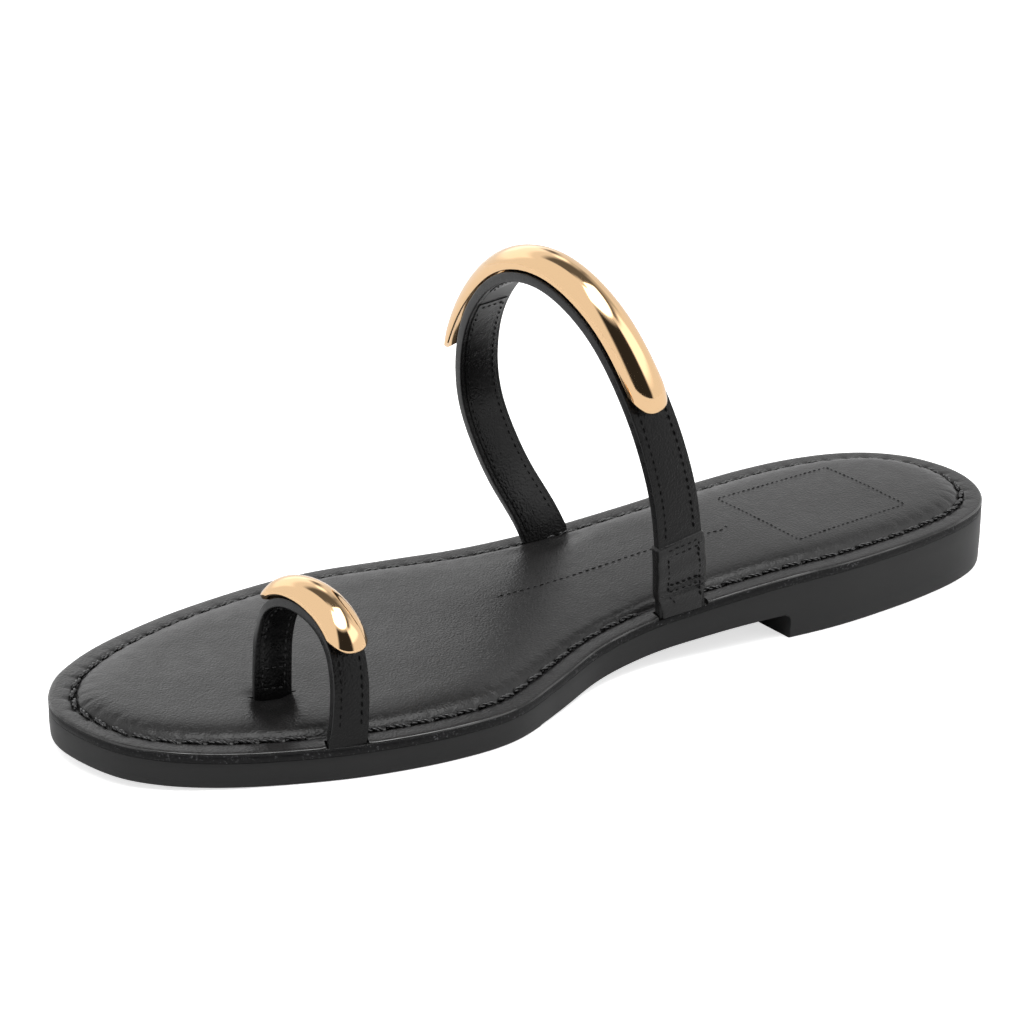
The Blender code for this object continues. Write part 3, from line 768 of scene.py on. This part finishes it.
def makeKeeper():
    shares = np.linspace(keeperShare(keeper["low"]), keeperShare(keeper["height"]), keeper["sections"])
    heights = np.interp(shares, instepStrip.shares, instepStrip.line[:, 2]) - keeperFoot
    rings = []
    for share, height in zip(shares, heights):
        narrow = keeper["taper"] * (1 - smoothStep(height, 0.0, keeper["waist"]))
        across, out = keeperSection(2 * narrow, 0.3 * narrow, 0.8)
        upper = smoothStep(height, keeper["height"] - 3, keeper["height"])
        crease = sum(depth * bell(height - place, reach) for place, depth, reach in keeper["creases"])
        ripple = keeper["ripple"] * math.sin(height * 1.1 + 0.25 * across[0])
        out = out + np.where(out > 0, ripple - crease * np.clip(1.0 + 0.12 * across, 0.2, 1.8), 0.0)
        rings.append(keeperRing(share, across, out, keeper["dip"] * (across / 6.0) ** 2 * upper))
    for narrow, depth in ((0.45, -0.25), (0.5, 0.6), (0.5, 4.0)):  # over the upper edge and down inside
        across, out = keeperSection(2 * narrow, 2 * narrow, 0.5)
        rings.append(keeperRing(shares[-1], across, out, keeper["dip"] * (across / 6.0) ** 2 + depth))
    spots = np.array(rings)
    spots[0, :, 2] = bedHeight(spots[0, :, 0]) - 0.6
    piece = gridPiece("instepKeeperTab", spots, keeperLeather, sharp=50)
    return settled(piece, ["instep_keeper"])


makeKeeper()
print("keeper made")


# gold bars
barForm = {"arc": 30, "rim": 5, "lift": 0.3, "tipRound": 2.6}
instepBar = {
    "start": 0.271, "startTip": 5.2, "startLift": 0.4, "startLow": 0.66, "startSlope": 5.0,
    "end": 0.738, "endTip": 3.6, "endLift": 3.5, "endLow": 0.80, "endSlope": 6.0,
    "width": 9.8, "crown": 4.5, "wall": 0.8, "sideShift": -0.5, "sections": 150,
}
toeBar = {
    "start": 0.297, "startTip": 3.4, "startLift": 0.6, "startLow": 0.80, "startSlope": 4.0,
    "end": 0.677, "endTip": 3.0, "endLift": 0.7, "endLow": 0.72, "endSlope": 5.0,
    "width": 9.3, "crown": 4.3, "wall": 0.7, "sideShift": 0.0, "sections": 110,
}


def makeBar(name, strip, strap, bar, node):  # a half-round shell, cut round at both ends
    steps = (1 - np.cos(np.linspace(0.0, math.pi, bar["sections"]))) / 2
    span = (bar["end"] - bar["start"]) * strip.length
    arc = np.linspace(0.0, math.pi, barForm["arc"])
    rim = np.linspace(0.0, math.pi, barForm["rim"] + 2)[1:-1]
    one = np.ones_like(arc)
    angles = np.concatenate((arc, np.full_like(rim, math.pi), arc[::-1], 0 * rim, arc[:1]))
    side = np.concatenate((one, np.cos(rim), -one, -np.cos(rim), [1.0]))
    below = np.concatenate((0 * one, np.sin(rim), 0 * one, np.sin(rim), [0.0]))
    setback = 1 - np.sqrt(np.maximum(1 - np.abs(np.cos(angles)) ** barForm["tipRound"], 0))
    first = bar["start"] + bar["startTip"] * setback / strip.length
    last = bar["end"] - bar["endTip"] * setback / strip.length
    spots = []
    for step in steps:
        lift = strap["thickness"] / 2 + barForm["lift"]
        lift += (bar["endLift" if step > 0.5 else "startLift"] - barForm["lift"]) * abs(2 * step - 1) ** 3
        crown = bar["crown"]
        crown *= 1 - (1 - bar["startLow"]) * max(1 - step * span / bar["startSlope"], 0) ** 2
        crown *= 1 - (1 - bar["endLow"]) * max(1 - (1 - step) * span / bar["endSlope"], 0) ** 2
        rounding = min(min(step, 1 - step) * span / (bar["wall"] / 2), 1.0)
        half = bar["wall"] / 2 * math.sqrt(1 - (1 - rounding) ** 2)
        across = bar["sideShift"] - ((bar["width"] - bar["wall"]) / 2 + half * side) * np.cos(angles)
        out = lift + half * (1 - below) + (crown - bar["wall"] + half * side) * np.sin(angles)
        spots.append(strip.on(first + (last - first) * step, across, out)[0])
    return settled(gridPiece(name, np.array(spots), polishedGold, sharp=180), [node])


makeBar("goldInstepBar", instepStrip, instepStrap, instepBar, "instep_bar")
makeBar("goldToeBar", toeStrip, toeStrap, toeBar, "toe_bar")
print("bars made")


# threads
edgeThread = {
    "radius": 0.58, "length": 0.90, "slant": 0.42, "rise": 0.12, "dip": 0.62, "turns": 1.5, "sections": 11,
}
keeperRows = (  # (across, height) of both ends of each row of stitches
    ((-4.0, 17.9), (4.6, 17.9)), ((-4.0, 16.2), (4.6, 16.4)), ((-3.7, 16.0), (-3.7, 6.5)),
    ((4.5, 17.6), (4.5, 2.6)), ((-3.6, 8.3), (4.2, 8.3)), ((-3.8, 6.5), (4.2, 6.7)),
    ((-3.6, 5.2), (-1.7, 2.4)),
)
heelPatch = {"corners": ((55.7, 8.9), (91.6, 11.1), (93.3, -18.0), (57.6, -21.7)), "pitch": 1.5}
footbedSeam = {
    "ends": ((-12.2, 1.6), (46.2, -7.3)), "pitch": 1.7, "curls": (((-12.2, 2.3), 200), ((46.4, -6.5), 300)),
}
toePitch = 1.9


def addTube(bm, points, radii, sides):  # a tube through the points, closed where its radius is nothing
    rows = len(points) - 1
    made = bmesh.ops.create_grid(bm, x_segments=sides, y_segments=rows, size=0.5)["verts"]
    along = np.gradient(points, axis=0)
    along /= np.linalg.norm(along, axis=1)[:, None]
    helper = (0.0, 0.0, 1.0) if abs(along[len(along) // 2, 2]) < 0.8 else (1.0, 0.0, 0.0)
    first = np.cross(along, helper)
    first /= np.linalg.norm(first, axis=1)[:, None]
    second = np.cross(along, first)
    for vert in made:
        i, j = round((vert.co.x + 0.5) * sides), round((vert.co.y + 0.5) * rows)
        turn = 2 * math.pi * (i % sides) / sides
        vert.co = (points[j] + (first[j] * math.cos(turn) + second[j] * math.sin(turn)) * radii[j]) * mm


def threadPiece(name, bm, look):
    bmesh.ops.remove_doubles(bm, verts=bm.verts, dist=2e-7)
    bmesh.ops.recalc_face_normals(bm, faces=bm.faces)
    return finishedObject(name, bm, [look], 180)


def makeEdgeStitching():  # chunky two-ply stitches in the channel round the pad
    bm = bmesh.new()
    perHalf = channel["stitches"] // 2
    swing = np.linspace(-1, 1, edgeThread["sections"])
    dip = np.abs(swing) ** 4 * edgeThread["dip"]
    radii = edgeThread["radius"] * 0.62 * np.sqrt(np.maximum(1 - np.abs(swing) ** 6, 0.0))
    for half, side in ((lateralHalf, 1), (medialHalf, -1)):
        for k in range(perHalf):
            middle = (k + 0.5) / perHalf
            if side < 0 and any(start - 0.004 < middle < end + 0.004 for start, end in notches):
                continue
            line = shareAlong(half, middle + swing / 2 * edgeThread["length"] / perHalf)
            sway = edgeThread["slant"] * swing * side + rng.normal(0, 0.05)
            place = line[:, :2] + line[:, 2:] * sway[:, None]
            height = bedHeight(line[:, 0]) + edgeThread["rise"] - dip + rng.normal(0, 0.03)
            center = np.column_stack((place, height))
            spin = swing * math.pi * edgeThread["turns"] + rng.uniform(0, 6)
            for ply in (0, math.pi):
                offset = np.column_stack((line[:, 2:] * np.cos(spin + ply)[:, None], np.sin(spin + ply)))
                addTube(bm, center + offset * edgeThread["radius"] * 0.42, radii, 6)
    return settled(threadPiece("edgeStitching", bm, waxedThread), [])


def sewLine(bm, points, normals, pitch, share=0.68, radius=0.19, sink=0.02, jitter=0.03):
    bow, taper = np.array((-1.0, 0.1, 0.45, 0.1, -1.0)), np.array((0.35, 0.95, 1.0, 0.95, 0.35))
    reach = distances(points)
    count = max(int(reach[-1] / pitch), 1)
    pitch = reach[-1] / count
    for k in range(count):
        where = (k + 0.5 + np.linspace(-0.5, 0.5, len(bow)) * share) * pitch
        line, up = sampled(points, reach, where), sampled(normals, reach, where)
        line += up * (bow * radius - sink)[:, None] + rng.normal(0, jitter, 3)
        addTube(bm, line, taper * radius, 5)


def strapRow(bm, strip, across, out, start, end, pitch=1.85, inner=False):
    points, normals = strip.on(np.linspace(start, end, 160), across, out)
    sewLine(bm, points, -normals if inner else normals, pitch)


def sewInstep(bm):
    top, low = instepStrap["thickness"] / 2 + 0.12, -instepStrap["thickness"] / 2 - 0.28
    edge, keeperTop = instepStrap["width"] / 2 - 2.1, keeperShare(keeper["height"]) + 0.004
    for across in (-edge, edge):
        strapRow(bm, instepStrip, across, top, keeperTop, instepBar["start"] + 0.02)
        strapRow(bm, instepStrip, across, top, instepBar["end"] - 0.02, 0.965)
        strapRow(bm, instepStrip, across, low, liningSeam["far"] + 0.012, 0.965, inner=True)
        strapRow(bm, instepStrip, across, low, 0.04, liningSeam["near"], inner=True)
    row = np.linspace(-edge, edge, 12)
    shares = liningSeam["far"] + 0.008 + liningSeam["slant"] * row / 6 / instepStrip.length
    points, normals = instepStrip.on(shares, row, low)
    sewLine(bm, points, -normals, 1.7)


def sewKeeper(bm):
    face = instepStrap["thickness"] / 2 + keeper["gap"] + keeper["wall"] + 0.04
    for start, end in keeperRows:
        across, heights = np.linspace(start, end, 20).T
        points, normals = instepStrip.on([keeperShare(height) for height in heights], across, face)
        sewLine(bm, points, normals, 1.55, jitter=0.06)


def sewToeLoop(bm):
    top, edge = toeStrap["thickness"] / 2 + 0.12, toeStrap["width"] / 2 - 1.75
    for across in (-edge, edge):
        strapRow(bm, toeStrip, across, top, 0.075, toeBar["start"] + 0.02, toePitch)
        strapRow(bm, toeStrip, across, top, toeBar["end"] - 0.02, 0.93, toePitch)


def makeStrapStitching():
    bm = bmesh.new()
    sewInstep(bm)
    sewKeeper(bm)
    sewToeLoop(bm)
    return settled(threadPiece("strapStitching", bm, blackThread), [])


def makeLiningStitching():  # the lighter stitches inside the toe loop
    bm = bmesh.new()
    low, edge = -toeStrap["thickness"] / 2 - 0.24, toeStrap["width"] / 2 - 1.75
    for across in (-edge, edge):
        strapRow(bm, toeStrip, across, low, 0.08, 0.93, toePitch, inner=True)
    for share in (0.86, 0.93):
        points, normals = toeStrip.on(np.full(10, share), np.linspace(-edge, edge, 10), low)
        sewLine(bm, points, -normals, 1.6)
    return settled(threadPiece("toeLiningStitching", bm, fineThread), [])


def onCover(points, above=50.0):  # drops (x, y) points onto the cover and gives places and normals
    tree = BVHTree.FromObject(footbedCover, bpy.context.evaluated_depsgraph_get())
    hits = [tree.ray_cast(Vector((x, y, above)) * mm, Vector((0, 0, -1))) for x, y in points]
    return np.array([hit[0] for hit in hits]) / mm, np.array([hit[1] for hit in hits])


def makeToeSlitShade():  # painted shade: a near-black tube along the slot stands in for the shaded gaps on both sides of the toe loop's far foot
    bm = bmesh.new()
    turn = math.radians(toeRows[-1][3])
    swing = np.linspace(-1.0, 1.0, 25)
    reach = swing * (toeStrap["width"] / 2 + 1.5)
    x, y = toeRows[-1][0] + reach * math.cos(turn), toeRows[-1][1] + reach * math.sin(turn)
    places, _ = onCover(np.column_stack((x, y)))
    addTube(bm, places - (0, 0, 0.10), 0.30 * np.sqrt(1 - swing ** 8), 8)
    return settled(threadPiece("toeSlitPaintedShade", bm, blackThread), [])


def makeFootbedStitching():
    bm = bmesh.new()
    corners = heelPatch["corners"]
    for start, end in zip(corners, corners[1:] + corners[:1]):
        line = np.linspace(start, end, 60)
        sewLine(bm, *onCover(line), heelPatch["pitch"], share=0.72, radius=0.16, sink=-0.02)
    line = np.linspace(*footbedSeam["ends"], 90)
    sewLine(bm, *onCover(line), footbedSeam["pitch"], share=0.76, radius=0.17, sink=-0.02)
    for center, turnStart in footbedSeam["curls"]:
        turns = np.radians(np.linspace(turnStart, turnStart + 130, 8))
        curl = np.column_stack((center[0] + 1.1 * np.cos(turns), center[1] + 0.9 * np.sin(turns)))
        sewLine(bm, *onCover(curl), 1.2, radius=0.15, sink=0.05)
    return settled(threadPiece("footbedStitching", bm, fineThread), [])


makeEdgeStitching()
makeStrapStitching()
makeFootbedStitching()
makeLiningStitching()
makeToeSlitShade()
print("threads made")


# floor, light and camera
studio = {
    "cameraPlace": (-287.075, -451.376, 258.874), "cameraTurn": (66.9, 0.0, -31.6), "lens": 87.89,
    "floorSize": 12.0, "floorGlow": 0.68, "worldStrength": 0.98, "leastLight": 0.02,
    "panels": (  # left, right, low, high and softness in degrees (-90 is the camera's side), change of light
        (-143, -72, -60, 55, 6, -0.97),
        (-50, 104, 51, 83, 6, -0.86),
        (-6, 34, 39, 51, 5, -0.45),
        (-146, 8, 60, 84, 2, 3.6),
        (-71, -20, 23, 51, 4, 0.8),
        (61, 118, 10, 36, 5, 0.42),
        (52, 84, 9, 21, 4, 0.35),
        (52, 62, 20, 35, 4, -0.80),
        (18, 54, 4, 40, 7, -0.08),
        (46, 61, 39, 48, 4, 0.90),
        (28, 48, 36, 51, 5, -0.30),
    ),
}


def makeFloor():
    bm = bmesh.new()
    bmesh.ops.create_grid(bm, x_segments=1, y_segments=1, size=studio["floorSize"] / 2)
    look, nodes, links, shader = newLook("paleFloor", grey(0.90), 0.9, specular=0.1)
    shader.inputs["Emission Color"].default_value = (1, 1, 1, 1)
    seen = addNode(nodes, "ShaderNodeLightPath").outputs["Is Camera Ray"]
    glow = mathNode(nodes, links, "MULTIPLY", seen, studio["floorGlow"])
    links.new(glow, shader.inputs["Emission Strength"])
    finishedObject("floor", bm, [look])


def makeWorld():
    world = bpy.data.worlds.new("studio")
    bpy.context.scene.world = world
    world.use_nodes = True
    nodes, links = world.node_tree.nodes, world.node_tree.links
    nodes.clear()
    direction = addNode(nodes, "ShaderNodeTexCoord").outputs["Generated"]
    split = addNode(nodes, "ShaderNodeSeparateXYZ")
    links.new(direction, split.inputs[0])
    azimuth = mathNode(nodes, links, "ARCTAN2", split.outputs[1], split.outputs[0])
    elevation = mathNode(nodes, links, "ARCSINE", split.outputs[2])

    def stepAt(value, place, soft):  # rises from 0 to 1 at a place given in degrees
        node = addNode(nodes, "ShaderNodeMapRange")
        node.interpolation_type = "SMOOTHSTEP"
        node.inputs["From Min"].default_value = math.radians(place - soft)
        node.inputs["From Max"].default_value = math.radians(place + soft)
        links.new(value, node.inputs["Value"])
        return node.outputs[0]

    def between(value, start, end, soft):  # 1 between two angles, 0 outside
        return mathNode(nodes, links, "SUBTRACT", stepAt(value, start, soft), stepAt(value, end, soft))

    light = 1.0
    for left, right, low, high, soft, gain in studio["panels"]:
        sides, levels = between(azimuth, left, right, soft), between(elevation, low, high, soft)
        part = mathNode(nodes, links, "MULTIPLY", mathNode(nodes, links, "MULTIPLY", sides, levels), gain)
        light = mathNode(nodes, links, "ADD", part, light)
    light = mathNode(nodes, links, "MAXIMUM", light, studio["leastLight"])
    studioLight = addNode(nodes, "ShaderNodeBackground", Strength=studio["worldStrength"])
    links.new(light, studioLight.inputs["Color"])
    backdrop = addNode(nodes, "ShaderNodeBackground", Color=(1, 1, 1, 1), Strength=1.0)
    seen = addNode(nodes, "ShaderNodeLightPath").outputs["Is Camera Ray"]
    mix = addNode(nodes, "ShaderNodeMixShader")
    links.new(seen, mix.inputs[0])
    links.new(studioLight.outputs[0], mix.inputs[1])
    links.new(backdrop.outputs[0], mix.inputs[2])
    output = addNode(nodes, "ShaderNodeOutputWorld")
    links.new(mix.outputs[0], output.inputs[0])


def makeCamera():
    data = bpy.data.cameras.new("camera")
    data.lens, data.sensor_width = studio["lens"], 36.0
    data.clip_start, data.clip_end = 0.01, 50.0
    camera = bpy.data.objects.new("camera", data)
    bpy.context.scene.collection.objects.link(camera)
    camera.location = Vector(studio["cameraPlace"]) * mm
    camera.rotation_euler = [math.radians(turn) for turn in studio["cameraTurn"]]
    bpy.context.scene.camera = camera


makeFloor()
makeWorld()
makeCamera()
bpy.context.scene.view_settings.view_transform = "Standard"
print("studio made")
